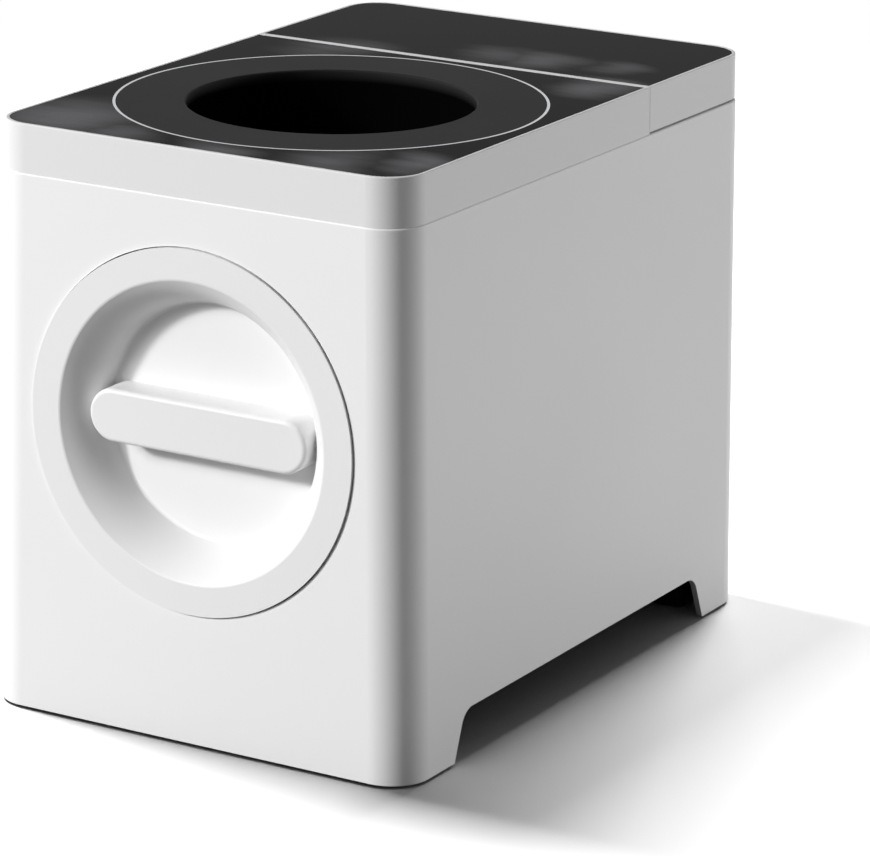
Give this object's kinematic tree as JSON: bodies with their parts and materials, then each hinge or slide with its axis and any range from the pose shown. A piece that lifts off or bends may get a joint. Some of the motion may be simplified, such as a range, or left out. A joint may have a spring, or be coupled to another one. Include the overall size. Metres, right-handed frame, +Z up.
{
  "type": "electric food waste composter",
  "caption": "White box-shaped kitchen composter with a black glass top, a round inlet well and a round dished front dial with a bar handle that pulls out a drum.",
  "frame": {"origin": "on the floor under the middle of the housing", "axes": "+X to the right, +Y to the back, +Z up; the round dial faces -Y"},
  "size_m": [0.273, 0.395, 0.333],
  "materials": {
    "white_moulding": "satin",
    "white_dial": "satin",
    "black_glass": "polished",
    "bright_trim": "polished",
    "black_moulding": "matte",
    "grey_moulding": "matte",
    "steel_sheet": "brushed",
    "steel_turned": "turned",
    "cast_aluminium": "satin",
    "brass_bush": "machined",
    "seal_rubber": "matte",
    "heater_rubber": "matte",
    "carbon": "granular",
    "board": "satin"
  },
  "bodies": {
    "housing": {"outer_shell": "white_moulding", "base_tray": "black_moulding", "rubber_feet": "seal_rubber", "base_screws": "steel_turned", "power_inlet": "black_moulding", "top_frame": "white_moulding", "front_glass": "black_glass", "touch_board": "board", "trim_ring": "bright_trim", "inlet_collar": "black_moulding", "collar_seal": "seal_rubber", "keeper_ring": "grey_moulding", "keeper_screws": "steel_turned", "drum_cradle": "steel_sheet", "guide_rails": "grey_moulding", "heater_mat": "heater_rubber", "thermostat": "black_moulding", "front_bracket": "steel_sheet", "rear_bulkhead": "steel_sheet", "idler_pin": "steel_turned", "gearcase_front": "cast_aluminium", "gearcase_rear": "cast_aluminium", "shaft_bearings": "steel_turned", "gearcase_screws": "steel_turned", "motor": "steel_turned", "filter_bay": "grey_moulding", "air_duct": "grey_moulding", "fan_frame": "black_moulding", "exhaust_duct": "grey_moulding", "board_standoffs": "brass_bush", "control_board": "board"},
    "drawer": {"drum": "steel_sheet", "drum_rails": "steel_turned", "drum_seal": "seal_rubber", "front_plate": "cast_aluminium", "plate_screws": "steel_turned", "front_bushing": "brass_bush", "rear_bushing": "brass_bush", "thrust_washer": "brass_bush", "spindle": "steel_turned", "retaining_clip": "steel_turned"},
    "dial": {"dial_cap": "white_dial", "handle_bar": "white_dial", "handle_screws": "steel_turned"},
    "agitator": {"agitator_shaft": "steel_turned", "mixing_blades": "steel_turned", "blade_pins": "steel_turned"},
    "drive": {"drive_shaft": "steel_turned", "output_gear": "grey_moulding"},
    "idler": {"idler_gear": "grey_moulding"},
    "pinion": {"motor_shaft": "steel_turned", "motor_pinion": "brass_bush"},
    "fan": {"fan_impeller": "black_moulding"},
    "cover": {"rear_cover": "white_moulding", "rear_glass": "black_glass", "filter_case": "grey_moulding", "carbon_bed": "carbon", "filter_lid": "grey_moulding", "filter_seal": "seal_rubber"}
  },
  "joints": [
    {"name": "drawer_slide", "type": "slide", "parent": "housing", "child": "drawer", "axis": [0, -1, 0], "range_m": [0, 0.24]},
    {"name": "dial_turn", "type": "hinge", "parent": "drawer", "child": "dial", "pos_m": [0, -0.19, 0.1774], "axis": [0, 1, 0], "range_deg": [0, 60]},
    {"name": "agitator_spin", "type": "hinge", "parent": "drawer", "child": "agitator", "pos_m": [0, 0, 0.1774], "axis": [0, 1, 0], "continuous": true},
    {"name": "drive_spin", "type": "hinge", "parent": "housing", "child": "drive", "pos_m": [0, 0.05, 0.1774], "axis": [0, 1, 0], "continuous": true},
    {"name": "idler_spin", "type": "hinge", "parent": "housing", "child": "idler", "pos_m": [0, 0.055, 0.1324], "axis": [0, 1, 0], "continuous": true},
    {"name": "pinion_spin", "type": "hinge", "parent": "housing", "child": "pinion", "pos_m": [0.02025, 0.06, 0.09732], "axis": [0, 1, 0], "continuous": true},
    {"name": "fan_spin", "type": "hinge", "parent": "housing", "child": "fan", "pos_m": [0, 0.135, 0.179], "axis": [0, 0, 1], "continuous": true},
    {"name": "cover_lift", "type": "slide", "parent": "housing", "child": "cover", "axis": [0, 0, 1], "range_m": [0, 0.145]}
  ],
  "couplings": [
    {"joint": "drive_spin", "follows": "agitator_spin", "ratio": 1},
    {"joint": "idler_spin", "follows": "agitator_spin", "ratio": -3.2857},
    {"joint": "pinion_spin", "follows": "agitator_spin", "ratio": 9.3878}
  ]
}
